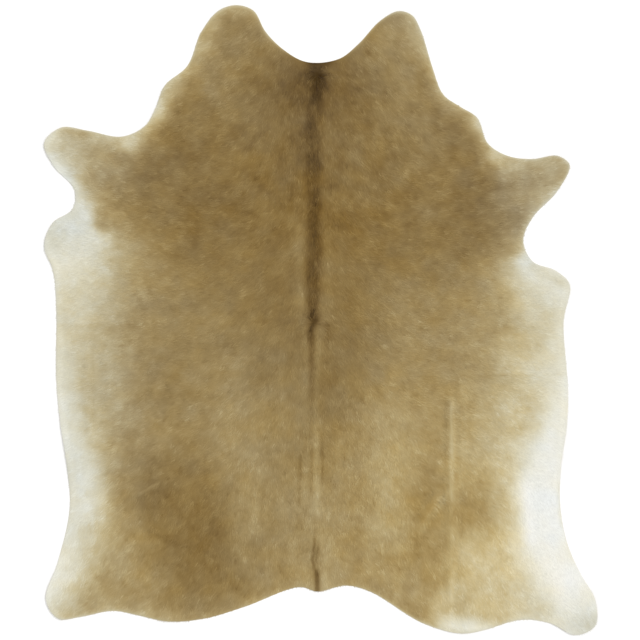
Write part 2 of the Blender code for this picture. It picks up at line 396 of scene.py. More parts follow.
# %% A square grid drawn out to the cut edge
GRID = 216
HEART = (0.0, -30.0)
FEET = ("left foreleg toe", "right foreleg toe", "right hind toe", "left hind toe")
HAIR_BED = 0.85
RIM_ROUNDING = 1.2
EDGE_ROWS = 3


def round_the_square():
    """For each grid point, how far out it is, from 0 in the middle to 1 at the side, and how
    far round, from 0 at the first corner to 4 back at it, clockwise."""
    u, v = np.meshgrid(np.linspace(-1, 1, GRID + 1), np.linspace(1, -1, GRID + 1))
    out = np.maximum(abs(u), abs(v))
    safe = np.maximum(out, 1e-9)
    top, right, bottom = v >= abs(u), u >= abs(v), -v >= abs(u)
    turn = np.where(top, u, np.where(right, -v, np.where(bottom, -u, v))) / safe
    side = np.where(top, 0, np.where(right, 1, np.where(bottom, 2, 3)))
    return out, side + (turn + 1) / 2


def edge_at_turn(turn, inset):
    """The cut edge at a turn from 0 to 4, moved inwards by inset: the four feet are at the whole
    numbers, and lengths along the outline are shared out evenly between them."""
    foot_lengths = [RIM_LENGTHS[PLACES.index(foot) * CURVE_STEPS] for foot in FEET]
    first = foot_lengths[0] - RIM_LENGTHS[-1]
    stops = [first, *foot_lengths[1:], first + RIM_LENGTHS[-1]]
    length = np.interp(turn, range(5), stops)
    ahead = on_rim(length + 1) - on_rim(length - 1)
    ahead /= np.linalg.norm(ahead, axis=-1, keepdims=True)
    inwards = np.stack([ahead[..., 1], -ahead[..., 0]], axis=-1)
    return on_rim(length) + (FRINGE + inset) * inwards


OUT, TURN = round_the_square()
SHEET = np.array(HEART) + OUT[..., None] * (edge_at_turn(TURN, RIM_ROUNDING) - HEART)
SHEET_X, SHEET_Y = SHEET[..., 0], SHEET[..., 1]
SHEET_FROM_EDGE = in_batches(edge_distance, SHEET_X, SHEET_Y) - RIM_ROUNDING
print("grid:", SHEET.shape[:2], "points from", SHEET.min(axis=(0, 1)).round(), "mm")

# %% [markdown]
# The coat side and the underside are the same grid at two heights, and a half-round edge of a
# few rows joins them, so that the sheet is closed. Its points and faces are arrays, which a
# mesh takes in one go.

# %% Both sides of the sheet and its rounded edge


def put_mesh(name, points, faces):
    """A mesh object from an array of points in millimetres and one of corner numbers."""
    mesh = bpy.data.meshes.new(name)
    mesh.vertices.add(len(points))
    mesh.vertices.foreach_set("co", (points * MM).astype(np.float32).ravel())
    corners = faces.shape[1]
    mesh.loops.add(faces.size)
    mesh.loops.foreach_set("vertex_index", faces.astype(np.int32).ravel())
    mesh.polygons.add(len(faces))
    mesh.polygons.foreach_set("loop_start", np.arange(0, faces.size, corners, dtype=np.int32))
    mesh.update(calc_edges=True)
    mesh.validate()
    mesh.shade_smooth()
    piece = bpy.data.objects.new(name, mesh)
    bpy.context.scene.collection.objects.link(piece)
    return piece


def grid_faces(numbers):
    """The quads between neighbours in a grid of point numbers, seen from the side where its
    columns run to the right and its rows run down."""
    a, b = numbers[:-1, :-1], numbers[:-1, 1:]
    c, d = numbers[1:, 1:], numbers[1:, :-1]
    return np.stack([a, d, c, b], axis=-1).reshape(-1, 4)


def side_loop(numbers):
    """The outer ring of a grid of point numbers, clockwise from its first corner."""
    return np.concatenate(
        [numbers[0, :-1], numbers[:-1, -1], numbers[-1, :0:-1], numbers[:0:-1, 0]]
    )


def edge_rings():
    """The rows of the half-round edge, from the coat side down to the underside: a half turn
    from the top to the floor, as wide as the rounding and as high as the rim is thick."""
    turn = side_loop(TURN)
    angles = np.linspace(0, math.pi, EDGE_ROWS + 2)[1:-1]
    rings = []
    for angle in angles:
        place = edge_at_turn(turn, RIM_ROUNDING * (1 - math.sin(angle)))
        middle = RIM_THICKNESS / 2 * (1 + math.cos(angle))
        rings.append(np.column_stack([place, floor_gap(*place.T) + middle]))
    return np.vstack(rings)


def hide_shape():
    """The points and faces of the closed sheet: coat side, underside and edge, in that order."""
    over = top_height(SHEET_X, SHEET_Y, SHEET_FROM_EDGE, HAIR_BED)
    under = floor_gap(SHEET_X, SHEET_Y)
    tops = np.dstack([SHEET, over]).reshape(-1, 3)
    bottoms = np.dstack([SHEET, under]).reshape(-1, 3)
    numbers = np.arange(len(tops)).reshape(GRID + 1, GRID + 1)
    loop = side_loop(numbers)
    first_ring = 2 * len(tops)
    rings = [first_ring + row * len(loop) + np.arange(len(loop)) for row in range(EDGE_ROWS)]
    walls = np.array([loop, *rings, loop + len(tops)])
    walls = np.hstack([walls, walls[:, :1]])
    inside_out = [grid_faces(numbers + len(tops)), grid_faces(walls)]
    faces = [grid_faces(numbers), *(part[:, ::-1] for part in inside_out)]
    return np.vstack([tops, bottoms, edge_rings()]), faces


HIDE_POINTS, HIDE_FACES = hide_shape()
hide = put_mesh("hide_skin", HIDE_POINTS, np.vstack(HIDE_FACES))
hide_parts("hide")
print("skin:", len(HIDE_POINTS), "points,", 2 * sum(map(len, HIDE_FACES)), "triangles")

# %% [markdown]
# ## The colours of the coat
#
# One cow's coat is one family of colours: what changes from place to place is mostly how light
# the hair is. It could be painted by hand on an image, but an image can't be taken apart and
# reasoned about. So the coat is painted by functions of place, in the order in which a breeder
# would describe it: the tan of the back, the white of the belly, softer patches, the dark
# stripe on the spine, and small marks. They add up to one number, the tone, from 0 for black to
# 255 for white, and a short ramp of hair colours turns a tone into a colour.

# %% The ramp from tone to hair colour
HAIR_COLOURS = (
    # hair, tone, sRGB colour
    ("black brown", 40, "#352508"),
    ("seal brown", 65, "#513F25"),
    ("umber", 85, "#695331"),
    ("dun", 105, "#7F6840"),
    ("tan", 125, "#917B50"),
    ("straw", 145, "#A48F63"),
    ("buff", 165, "#B6A479"),
    ("sand", 185, "#C7BA95"),
    ("cream", 205, "#D5CEB3"),
    ("ivory", 225, "#E5E2D1"),
    ("white", 245, "#F3F2EB"),
)
GLOSS = 0.009
LEAST_LIGHT = 0.002


def srgb(code):
    """The three parts of a hex colour, each from 0 to 1, still as the screen takes them."""
    return [int(code[i : i + 2], 16) / 255 for i in (1, 3, 5)]


def linear(screen):
    """Screen colours as light: the standard curve, a straight foot and then a power of 2.4."""
    screen = np.asarray(screen, float)
    return np.where(screen <= 0.04045, screen / 12.92, ((screen + 0.055) / 1.055) ** 2.4)


def hair_colour(tone, warmth):
    """Light's red, green and blue for each tone. Warmth moves blue down by as many steps of 255
    and red up by half as many, which leaves it as light as it was. A negative one moves them
    the other way. What the hair's gloss adds is taken off."""
    tones = [row[1] for row in HAIR_COLOURS]
    codes = np.array([srgb(row[2]) for row in HAIR_COLOURS])
    screen = np.stack([np.interp(tone, tones, codes[:, i]) for i in range(3)], axis=-1)
    screen[..., 0] += warmth / 2 / 255
    screen[..., 2] -= warmth / 255
    return np.maximum(linear(np.clip(screen, 0, 1)) - GLOSS, LEAST_LIGHT)


print("ramp:", ", ".join(row[0] for row in HAIR_COLOURS))

# %% [markdown]
# Nothing on an animal is perfectly even, so every stage needs some seeded unevenness. Blender's
# noise textures can give it in a material, but the hair itself needs the same numbers, so it is
# worked out here: random heights on a lattice, joined smoothly.

# %% Seeded unevenness
LATTICE = 512


def soft_noise(x, y, cell, seed):
    """Soft bumps from -1 to 1, each about one cell across: random heights on a square lattice,
    joined between its corners by the curve 3t² - 2t³ both ways."""
    heights = np.random.default_rng(seed).uniform(-1, 1, (LATTICE, LATTICE))
    column, row = np.floor(x / cell).astype(int), np.floor(y / cell).astype(int)
    s, t = x / cell - column, y / cell - row
    s, t = s * s * (3 - 2 * s), t * t * (3 - 2 * t)
    left, right = column % LATTICE, (column + 1) % LATTICE
    low, high = row % LATTICE, (row + 1) % LATTICE
    near = heights[low, left] * (1 - s) + heights[low, right] * s
    far = heights[high, left] * (1 - s) + heights[high, right] * s
    return near * (1 - t) + far * t


def uneven(x, y, *layers):
    """The sum of layers of soft bumps, each given as the size of its cells, the seed of its
    random heights and its strength."""
    return sum(strength * soft_noise(x, y, cell, seed) for cell, seed, strength in layers)


print("one bump in the middle of the hide:", soft_noise(np.zeros(1), np.zeros(1), 50, 1).round(3))

# %% [markdown]
# The back is tan, a little lighter from the shoulders to the rump. Towards the belly it fades
# through buff and cream to white, and the fade isn't equally wide or equally far out
# everywhere: it is what makes each hide its own. So for each side a row says, for a height on
# the hide, how far from the spine each shade is reached.

# %% The tan back and the white belly
BACK_TONES = (
    # y, tone
    (885, 124),
    (735, 120),
    (570, 117),
    (400, 115),
    (235, 118),
    (65, 125),
    (-100, 129),
    (-270, 133),
    (-435, 138),
    (-605, 142),
    (-905, 143),
)
SHADES = (142, 166, 190, 212, 228)
LAST_TAN = 110
LEFT_BELLY = (
    # place, y, straw, buff, sand, cream and white, from the spine
    ("foreleg toe", 570, 605, 795, 865, 910, 940),
    ("foreleg", 520, 665, 770, 840, 870, 900),
    ("foreleg back", 470, 695, 795, 815, 835, 850),
    ("armpit front", 385, 695, 755, 775, 790, 850),
    ("armpit back", 315, 630, 750, 760, 770, 955),
    ("flank corner front", 265, 590, 660, 710, 750, 955),
    ("flank corner back", 180, 585, 665, 715, 780, 955),
    ("flank", 80, 570, 675, 740, 885, 970),
    ("ribs", -35, 605, 695, 815, 890, 950),
    ("belly front", -170, 610, 695, 815, 870, 920),
    ("belly middle", -305, 605, 705, 800, 840, 885),
    ("belly low", -435, 635, 710, 750, 810, 870),
    ("loin back", -570, 665, 715, 730, 760, 865),
    ("hind knee", -670, 645, 705, 725, 825, 905),
    ("hind shank", -820, 590, 725, 790, 820, 890),
    ("hind foot", -925, 630, 785, 830, 870, 915),
    ("hind toe", -975, 605, 800, 850, 890, 920),
)
RIGHT_BELLY = (
    # place, y, straw, buff, sand, cream and white, from the spine
    ("foreleg back", 470, 755, 855, 905, 935, 970),
    ("elbow", 425, 655, 755, 805, 835, 870),
    ("armpit", 345, 665, 715, 755, 785, 820),
    ("below the armpit", 245, 630, 665, 695, 715, 755),
    ("flank corner", 200, 560, 620, 645, 665, 755),
    ("flank", 135, 535, 600, 645, 710, 905),
    ("ribs", 30, 510, 625, 680, 825, 935),
    ("ribs back", -35, 475, 615, 740, 800, 855),
    ("belly", -170, 420, 585, 675, 780, 845),
    ("belly back", -305, 420, 550, 695, 740, 790),
    ("loin", -435, 420, 515, 615, 690, 735),
    ("above the hind knee", -570, 420, 550, 615, 645, 685),
    ("below the hind knee", -670, 430, 555, 620, 655, 695),
    ("hind shank", -770, 400, 475, 600, 665, 705),
    ("hind foot", -870, 390, 470, 600, 700, 790),
    ("hind toe", -975, 335, 400, 600, 765, 830),
)
# size of the cells, seed, strength
BELLY_WOBBLE = (45, 11, 7.0)
WOBBLE_CHANGE = (17, 12, 0.5)


def belly_gain(side, y, base, rows):
    """How much lighter than the back's base tone the belly makes each point: a straight slope
    from each shade to the next, between the places where the two are reached."""
    rows = [row[1:] for row in rows]
    reached = [by_height(y, rows, 1 + i) for i in range(len(SHADES))]
    stops = [reached[0] - LAST_TAN, *reached]
    shades = [base, *SHADES]
    gain = np.zeros_like(side)
    for i in range(len(SHADES)):
        share = np.clip((side - stops[i]) / (stops[i + 1] - stops[i]), 0, 1)
        gain += (shades[i + 1] - shades[i]) * share
    return gain


def back_and_belly(x, y):
    """The tone of the back, which lightens from the shoulders to the rump, with the white of
    both sides of the belly."""
    base = by_height(y, BACK_TONES)
    wobbly = x + uneven(x, y, BELLY_WOBBLE) * (1 + uneven(x, y, WOBBLE_CHANGE))
    tone = base + belly_gain(-wobbly, y, base, LEFT_BELLY)
    return tone + belly_gain(wobbly, y, base, RIGHT_BELLY)


print("tone of spine and left flank:", back_and_belly(np.array([0.0, -860]), np.zeros(2)))

# %% [markdown]
# Over that lie soft patches, each a round or oval cloud of lighter or darker hair, and a few that
# are painted highlights and painted shade instead: light bands down the loins and beside a fold,
# and grey at a rim. They have no edges, so each is a bell curve: full in the middle and gone two
# and a half reaches away.
# A second table has the clouds that are a little redder or greyer than the ramp's colours.

# %% Soft patches and warmth
PATCHES = (
    # name, x, y, reach across, reach along, change of tone
    ("shade round the neck knot", -25, 795, 100, 75, -27),
    ("shade along the spine", 0, 435, 170, 300, -5),
    ("shade left of the spine", -100, 560, 55, 135, -6),
    ("shade right of the spine", 105, 250, 65, 170, -4),
    ("left shoulder", -385, 385, 85, 120, -6),
    ("right shoulder, light", 215, 600, 150, 170, 4),
    ("left neck, light", -350, 805, 75, 135, 8),
    ("right neck, light", 285, 770, 65, 150, 8),
    ("left ribs, light", -420, 30, 75, 150, 8),
    ("left of the whorl, dark", -150, 30, 75, 135, -8),
    ("right of the whorl, dark", 35, -220, 45, 135, -10),
    ("left rear, dark", -415, -730, 100, 160, -33),
    ("left rump, dark", -310, -865, 60, 55, -10),
    ("left rear, dark front", -545, -555, 65, 65, -12),
    # Painted highlights: light bands down both loins and the right rear, and the lit side of the
    # right long fold.
    ("left loin, painted highlight", -270, -405, 45, 170, 11),
    ("right loin, painted highlight", 225, -435, 65, 150, 18),
    ("right long fold, painted highlight", 450, -485, 60, 105, 13),
    ("right rear, painted highlight", 225, -690, 45, 120, 17),
    ("right rear, dark", 370, -570, 40, 80, -10),
    ("right rump, golden", 460, -790, 65, 115, 12),
    ("right rump, pale", 360, -930, 65, 50, 15),
    ("rear edge, right", 435, -1025, 75, 25, 14),
    ("tail, light", 35, -805, 25, 100, 4),
    ("left rump, light", -605, -915, 65, 45, 8),
    ("left thigh, light", -620, -770, 55, 100, 8),
    ("right ribs, light", 385, 80, 100, 85, 8),
    ("right ribs, dark", 570, -35, 55, 135, -5),
    ("right loin, light", 320, -85, 60, 85, 4),
    ("right foreleg", 710, 500, 85, 30, 12),
    ("right foreleg root", 625, 520, 50, 35, 36),
    ("left neck flap", -290, 995, 75, 45, 12),
    ("right neck flap", 260, 965, 60, 55, 10),
    ("left flank corner", -905, 295, 45, 55, -16),
    ("left armpit, white", -850, 400, 45, 45, -6),
    ("left flank, grey", -865, -35, 35, 200, -3),
    # Painted shade along the rim of the left hind knee.
    ("left hind knee rim, painted shade", -850, -555, 25, 65, -14),
    ("left hind toe", -885, -980, 45, 35, -10),
    ("right hind toe", 915, -1025, 55, 35, -30),
    ("right hind foot, straw", 735, -965, 45, 25, -8),
    ("right flank corner", 710, 155, 65, 25, 4),
    ("shade right of the knot", 105, 815, 60, 60, -7),
    ("shade left of the knot", -70, 780, 35, 25, -7),
    ("shade right of the stripe, upper", 45, 750, 20, 35, -10),
    ("shade right of the whorl, near", 25, -10, 30, 30, -7),
    ("right rump, dark", 295, -780, 45, 95, -7),
    ("left hind knee, dark", -635, -615, 95, 35, -5),
    ("right shoulder, dark", 500, 500, 85, 30, -5),
    ("left of the stripe, dark", -90, 535, 45, 55, -6),
    ("right thigh fold, dark", 465, -565, 40, 80, -5),
    ("left hind shank, dark", -705, -840, 65, 30, -6),
    ("left of the whorl, light", -60, 30, 15, 20, 10),
    ("left neck root, light", -375, 830, 40, 35, 9),
    ("left upper foreleg, light", -515, 395, 30, 55, 10),
    ("left of the stripe, light", -70, 265, 35, 85, 7),
    ("right of the stripe, light", 140, 415, 85, 60, 6),
    ("right loin, pale", 300, -220, 80, 235, 8),
    ("right loin low, pale", 295, -430, 65, 55, 6),
    ("right ribs streak, light", 635, -110, 25, 40, 10),
    ("right belly streak, light", 635, -305, 25, 35, 9),
    ("left of the loin line, dark", -75, -275, 55, 105, -7),
    ("left belly streak, dark", -770, -265, 20, 75, -10),
    ("left loin spot, light", -335, -370, 55, 40, 6),
    ("left thigh front, dark", -565, -645, 35, 85, -11),
    ("left rump middle, light", -240, -620, 35, 45, 7),
    ("loin line, light", -30, -605, 25, 55, 7),
    ("left rump side, dark", -150, -755, 40, 45, -7),
    ("left thigh back, dark", -665, -880, 45, 45, -10),
    ("left knee, light", -780, -640, 25, 30, 12),
    ("right thigh, dark", 520, -610, 45, 115, -10),
    ("right rump spot, light", 165, -845, 40, 25, 8),
    ("right rump corner, light", 570, -845, 35, 25, 8),
    ("right thigh front, light", 430, -560, 30, 45, 9),
    ("right thigh back, dark", 480, -650, 40, 35, -14),
    ("right belly back, tan", 735, -270, 45, 55, -7),
    ("right of the whorl, shade", 105, -60, 60, 75, -7),
    ("left shin, tan", -575, 560, 25, 25, -9),
    ("right shoulder middle, light", 370, 570, 35, 45, 6),
    ("right hind leg, white", 770, -670, 55, 200, 11),
    ("right hind foot, white", 845, -865, 45, 45, 12),
    ("right neck flap root, light", 295, 910, 25, 40, 7),
    ("right hind shank, light", 540, -790, 25, 35, 9),
    ("right hind foot root, tan", 645, -855, 30, 25, -9),
    ("right loin edge, tan", 705, -370, 25, 30, -9),
)
WARM_PATCHES = (
    # name, x, y, reach across, reach along, warmth
    ("shoulders", -320, 435, 270, 170, 3),
    ("right of the withers", 115, 315, 170, 200, 4),
    ("right loin", 300, -570, 220, 270, 5),
    ("right rump", 450, -720, 135, 115, 5),
    ("right hind shank", 590, -825, 80, 85, 8),
    ("right belly edge", 640, -590, 30, 170, 6),
    ("right hind leg", 740, -580, 55, 150, -5),
    ("right hind toe", 895, -1015, 50, 45, -10),
    ("right hind foot", 715, -850, 40, 45, 4),
    ("right rump corner", 530, -940, 75, 40, 4),
    ("left hind toe", -845, -945, 75, 40, -4),
    ("left rump", -455, -720, 150, 150, 4),
    ("left armpit", -845, 300, 65, 65, -12),
    ("left foreleg", -805, 535, 120, 80, -9),
    ("right armpit", 670, 385, 85, 105, -9),
    ("right foreleg", 770, 495, 65, 60, -5),
    ("right neck flap", 295, 995, 45, 60, -6),
    ("left belly", -710, -170, 85, 300, -7),
    ("left belly edge", -820, -435, 40, 200, -5),
    ("right flank corner", 755, 120, 75, 45, -4),
    ("below the right armpit", 695, 205, 30, 25, -9),
)


def clouds(x, y, rows):
    """The sum of soft ovals: each one's strength times a bell curve of the distance from its
    middle, counted in its own reaches."""
    total = np.zeros_like(x)
    for _, x_middle, y_middle, across, along, strength in rows:
        away = ((x - x_middle) / across) ** 2 + ((y - y_middle) / along) ** 2
        total += strength * np.exp(-away / 2)
    return total


print("patches:", len(PATCHES), "and", len(WARM_PATCHES), "of warmth")

# %% [markdown]
# A dark eel stripe runs down the spine from the neck to the whorl, where the hair turns. It is
# narrow and uneven, so it has rows of its own: how dark and how wide it is at each height.

# %% The stripe on the spine
STRIPE = (
    # y, x, tone change, half width
    (863, -4, -30, 37),
    (836, -9, -38, 26),
    (799, -10, -40, 28),
    (759, -12, -31, 21),
    (722, -21, -20, 20),
    (642, -24, -26, 26),
    (602, -22, -20, 30),
    (521, -26, -30, 27),
    (441, -26, -29, 22),
    (387, -23, -33, 21),
    (280, -22, -33, 24),
    (240, -23, -28, 27),
    (186, -23, -34, 26),
    (79, -26, -35, 22),
    (-1, -24, -33, 19),
    (-38, -32, -26, 12),
    (-162, -32, -21, 8),
    (-243, -31, -12, 8),
    (-390, -32, 0, 10),
)
# size of the cells, seed, strength
STRIPE_WANDER = (35, 21, 1.5)


def stripe_tone(x, y):
    """The stripe's change of tone: flat across its wandering middle, and half gone at its half
    width, by the cube of the distance from the middle."""
    middle, change, width = (by_height(y, STRIPE, column) for column in (1, 2, 3))
    side = x - middle - uneven(x * 0, y, STRIPE_WANDER)
    return change * 0.5 ** (np.abs(side / width) ** 3)


print("down the stripe:", stripe_tone(np.full(3, -26.0), np.array([820.0, 300, -10])).round())

# %% [markdown]
# Then come the parts that are long and narrow: edges where the belly's white comes round a leg or
# the neck, or turns grey, in places as painted shade along the rim, and the small marks that
# every real hide has, such as scars that healed with lighter hair, and flecks. Beside them lie
# the painted highlights and painted shade of the creases: light on a fold's crest and lit side,
# and dark on its shaded side. Each is a soft stroke from one place to another.

# %% Pale or grey edges, small marks, and painted light and shade of the creases
EDGES = (
    # name, x from, y from, x to, y to, half width, change of tone
    ("left foreleg front", -740, 610, -655, 600, 25, 18),
    ("left foreleg front, tan", -865, 630, -800, 630, 15, -10),
    ("left shoulder edge", -630, 600, -555, 690, 35, 34),
    ("left neck edge", -545, 715, -505, 790, 40, 46),
    ("left neck upper edge", -470, 835, -405, 905, 30, 28),
    ("left flap outer edge", -385, 935, -355, 1025, 30, 28),
    ("left flap tip edge", -335, 1050, -230, 1035, 20, 24),
    ("left flap inner edge", -215, 1025, -175, 950, 15, 12),
    ("right flap tip edge", 235, 1035, 310, 1025, 20, 18),
    ("right flap outer edge", 315, 995, 375, 825, 30, 32),
    ("right neck edge", 395, 760, 520, 660, 30, 28),
    ("right shoulder edge", 535, 650, 580, 570, 35, 44),
    ("right foreleg front edge", 600, 545, 755, 540, 25, 16),
    ("left rump edge", -385, -995, -605, -980, 15, 12),
    ("right rump edge", 420, -1020, 550, -1040, 25, 32),
    ("white of the right thigh", 690, -565, 705, -730, 20, 9),
    ("tan beside the white", 630, -590, 645, -740, 20, -6),
    # Painted shade along the rim of the white right thigh.
    ("right thigh rim, painted shade", 805, -550, 810, -680, 10, -12),
    ("right flank corner edge, grey", 705, 190, 815, 120, 15, -11),
)
MARKS = (
    # name, x from, y from, x to, y to, half width, change of tone
    ("neck knot, left tick", -47, 826, -31, 813, 4.4, -22),
    ("neck knot, right tick", -1, 816, 36, 823, 4.4, -24),
    ("light curl left of the knot", -41, 809, -31, 792, 4, 20),
    ("light hair right of the knot", 20, 813, 83, 809, 4, 18),
    ("light hair below the knot", -21, 715, -7, 642, 5.4, 14),
    ("dark hair below the knot", -34, 736, -47, 695, 5, -12),
    ("whorl comma", -27, 25, -34, 5, 5.4, -36),
    ("whorl comma, tail", -21, 49, -21, 29, 4, -14),
    ("whorl slant", -14, 2, -31, -25, 5.7, -24),
    ("whorl tick", 3, -12, 23, -15, 4.4, -18),
    ("whorl dash", -47, -38, -31, -35, 4.4, -38),
    ("whorl second dash", -41, -55, -31, -52, 4.7, -20),
    ("light curl left of the whorl", -57, -35, -37, -35, 4, 12),
    ("light curl under the whorl", -64, -85, -47, -62, 4.7, 18),
    ("light curl over the whorl", -1, 25, 20, 49, 4.7, 8),
    ("light curl right of the whorl", 10, 9, 50, 9, 4.7, 8),
    ("dark hair right of the whorl", 23, -15, 23, -95, 7.4, -12),
    ("second dark hair right of the whorl", 53, -152, 56, -223, 6.7, -6),
    ("light hair left of the stripe", -74, 317, -71, 49, 11.7, 8),
    ("light hair right of the stripe", 20, 334, 33, 32, 11.7, 5),
    ("light hair behind the whorl", -7, -75, -14, -336, 6.7, 7),
    ("light hair left behind the whorl", -47, -85, -47, -223, 8.4, 6),
    ("light strip on the loin", -14, -353, -14, -645, 10.7, 15),
    ("light strip on the loin, left", -47, -444, -51, -604, 11.4, 7),
    ("dark line right of the strip", 5, -390, 5, -544, 4, -14),
    ("dark line left of the strip", -29, -424, -29, -551, 3.7, -11),
    ("crack on the loin", -68, -457, -71, -618, 4, -15),
    ("crack on the loin, bend", -47, -427, -68, -457, 3.7, -12),
    ("dark line to the tail", -19, -638, -19, -738, 4, -12),
    ("dark line to the tail, fork", -19, -738, -27, -805, 4.4, -34),
    ("dark line to the tail, right fork", -7, -755, -17, -812, 4.4, -30),
    ("dark line to the tail, lower", -27, -805, -14, -852, 4.4, -30),
    ("tail root", -12, -849, -11, -919, 7.7, -56),
    ("light hair right of the tail", 16, -755, 16, -886, 11.7, 6),
    # Painted highlights and painted shade of the right long fold and the right slanting crease:
    # light on a crest and lit side, dark on the shaded side.
    ("right long fold", 438, -259, 438, -604, 4.7, 20),
    ("crest of the right long fold", 442, -414, 438, -524, 5, 10),
    ("right long fold, lower", 438, -625, 438, -1023, 4.7, 7),
    ("shade of the right long fold", 422, -253, 422, -625, 10.1, -6),
    ("right slanting crease", 425, -574, 388, -631, 8, 24),
    ("right slanting crease, lower", 385, -635, 334, -708, 8, 24),
    # Painted shade: dark lines along the cross creases and the left flank, side and loin creases,
    # with a short dark tick across the left cross crease.
    ("right cross crease", 435, -189, 827, -182, 5, -6),
    ("right upper cross crease", 619, -25, 753, -25, 5, -6),
    ("left cross crease", -888, -18, -604, -18, 5, -5),
    ("left cross tick", -634, -5, -634, -35, 4, -8),
    ("left flank line", -764, -102, -764, -336, 5, -6),
    ("left side line", -520, -52, -520, -336, 5, -5),
    ("left loin line", -413, -52, -413, -303, 5, -5),
    ("left rump scar", -640, -604, -537, -541, 4, 13),
    ("left rump scar, lower", -637, -625, -543, -568, 4.7, -5),
    ("left rump second scar", -537, -682, -429, -742, 6.7, 9),
    ("left rump third scar", -563, -712, -443, -769, 6.7, -9),
    ("left rib stroke", -600, 99, -587, 72, 4.7, 22),
    ("left rib stroke, upper", -526, 256, -513, 236, 4.7, 22),
    ("left rib stroke, inner", -476, 283, -463, 263, 4.7, 20),
    ("left shoulder fleck", -329, 685, -315, 679, 4.7, 20),
    ("left shoulder fleck, inner", -299, 675, -285, 669, 4.7, 16),
    ("left shoulder fleck, outer", -510, 447, -496, 441, 4.7, 18),
    ("right shoulder fleck", 237, 387, 251, 380, 4.7, 16),
    ("right shoulder fleck, outer", 385, 478, 398, 471, 4.7, 18),
    ("right shoulder fleck, second", 442, 504, 462, 498, 4.7, 18),
    ("right shoulder fleck, third", 512, 447, 525, 434, 4.7, 16),
    ("right foreleg fleck", 609, 471, 629, 464, 4.7, 16),
    ("right shoulder fleck, fourth", 361, 488, 375, 481, 4.7, 16),
    ("right elbow fleck", 562, 330, 576, 323, 4.7, 16),
    ("right elbow nick", 602, 323, 609, 310, 4.7, -26),
    ("right neck spot", 157, 903, 164, 900, 6.7, -15),
    ("right neck spot, lower", 123, 776, 130, 772, 6, -15),
)


def strokes(x, y, rows):
    """The sum of soft strokes: each one's strength times a cosine of the distance from its
    straight line, counted in half widths and doubled so that its foot is soft."""
    total = np.zeros_like(x)
    for _, x_from, y_from, x_to, y_to, half_width, strength in rows:
        run_x, run_y = x_to - x_from, y_to - y_from
        t = ((x - x_from) * run_x + (y - y_from) * run_y) / (run_x**2 + run_y**2)
        t = np.clip(t, 0, 1)
        away = np.hypot(x - x_from - t * run_x, y - y_from - t * run_y)
        total += strength * hump(away / (2 * half_width))
    return total


print("edges:", len(EDGES), "marks:", len(MARKS))

# %% [markdown]
# Between all these the coat is mottled. Light and dark hairs lie in clumps from the width of a
# lock to that of a palm, with a few single flecks. The broad clumps belong to the coat's tone,
# and the fine ones to each strand. Noise alone would be the same all over, so it is stronger on
# the shoulders than on the ribs, and fades out on white hair.

# %% Mottling
LIGHTEST = 244.0
MOTTLES = (
    # size of the cells, seed, strength
    (32, 62, 8.0),
    (70, 100, 4.5),
)
STRAND_MOTTLES = (
    (8, 38, 9.5),
    (15, 45, 8.0),
)
MOTTLED = (
    # y, share of the mottling
    (1060, 1.0),
    (350, 1.0),
    (150, 0.75),
    (-150, 0.75),
    (-350, 0.9),
    (-1060, 0.95),
)
MOTTLE_FADE = 50.0
FLECKS = (9.0, 32, 1.0)
FLECK_FROM = 0.55
FLECK_TONE = 42.0
FLECK_FADE = 80.0


def below(tone, limit, fade):
    """1 for dark tones, falling in a straight line over this many tones to 0 at a limit."""
    return np.clip((limit - tone) / fade, 0, 1)


def mottling(x, y, tone, layers):
    """Unevenness of several sizes, stronger on the shoulders than on the ribs and weaker on
    white hair than on tan."""
    return uneven(x, y, *layers) * by_height(y, MOTTLED) * below(tone, LIGHTEST, MOTTLE_FADE)


def strand_tone(x, y, tone):
    """How much each strand differs from the tone round it: the finer unevenness, and sparse
    flecks of light and dark hair where one more noise passes its limit up or down."""
    noise = uneven(x, y, FLECKS)
    flecks = FLECK_TONE * np.sign(noise) * np.maximum(np.abs(noise) - FLECK_FROM, 0)
    flecks *= below(tone, LIGHTEST, FLECK_FADE)
    return mottling(x, y, tone, STRAND_MOTTLES) + flecks


print("mottling in layers:", len(MOTTLES), "broad and", len(STRAND_MOTTLES), "fine")

# %% [markdown]
# Last, all of it is added up. Where the hair parts over the cut edge its pale roots show, so the
# tone glows a little there, except in three places that stay dark. Warmth is added up apart.

# %% The whole coat
DARK_RIMS = (
    # name, x, y, reach across, reach along, change of the glow
    ("neck notch", -10, 870, 70, 40, -1.3),
    ("under the tail", -20, -910, 130, 60, -0.6),
    ("left rump", -400, -960, 130, 60, -0.7),
)
RIM_GLOW = 40.0
RIM_GLOW_REACH = 5.0
RIM_GLOW_TO = 215.0
RIM_GLOW_FADE = 70.0
WARM_MOTTLES = (
    # size of the cells, seed, strength
    (60, 33, 3.3),
    (25, 34, 2.0),
)
COAT_WARMTH = -0.6


def coat_tone(x, y, from_edge):
    """The tone of the coat: back and belly, patches, stripe and marks, the broader unevenness,
    and a paler rim where the hair parts over the cut edge."""
    tone = back_and_belly(x, y) + clouds(x, y, PATCHES) + stripe_tone(x, y)
    tone += strokes(x, y, EDGES) + strokes(x, y, MARKS)
    tone += mottling(x, y, tone, MOTTLES)
    glow = RIM_GLOW * np.exp(-np.maximum(from_edge, 0) / RIM_GLOW_REACH)
    glow *= 1 + clouds(x, y, DARK_RIMS)
    tone += glow * below(tone, RIM_GLOW_TO, RIM_GLOW_FADE)
    return np.minimum(tone, LIGHTEST)


def coat_warmth(x, y):
    """How much warmer than the ramp's colours the coat is at each point."""
    return clouds(x, y, WARM_PATCHES) + uneven(x, y, *WARM_MOTTLES) + COAT_WARMTH


print("tone at the heart:", coat_tone(*np.array([[0.0], [-30], [900]])).round())

# %% [markdown]
# ## Which way the hair lies
#
# A cow's hair grows backwards from the neck to the tail and outwards from the spine to the belly
# and legs, and round a whorl it turns every way. The lie of it gives a hide its grain. It is set
# down as headings at a few places on one side, in degrees from straight back towards the flank.
# The other side is its mirror image, and between the places the nearest ones count most.

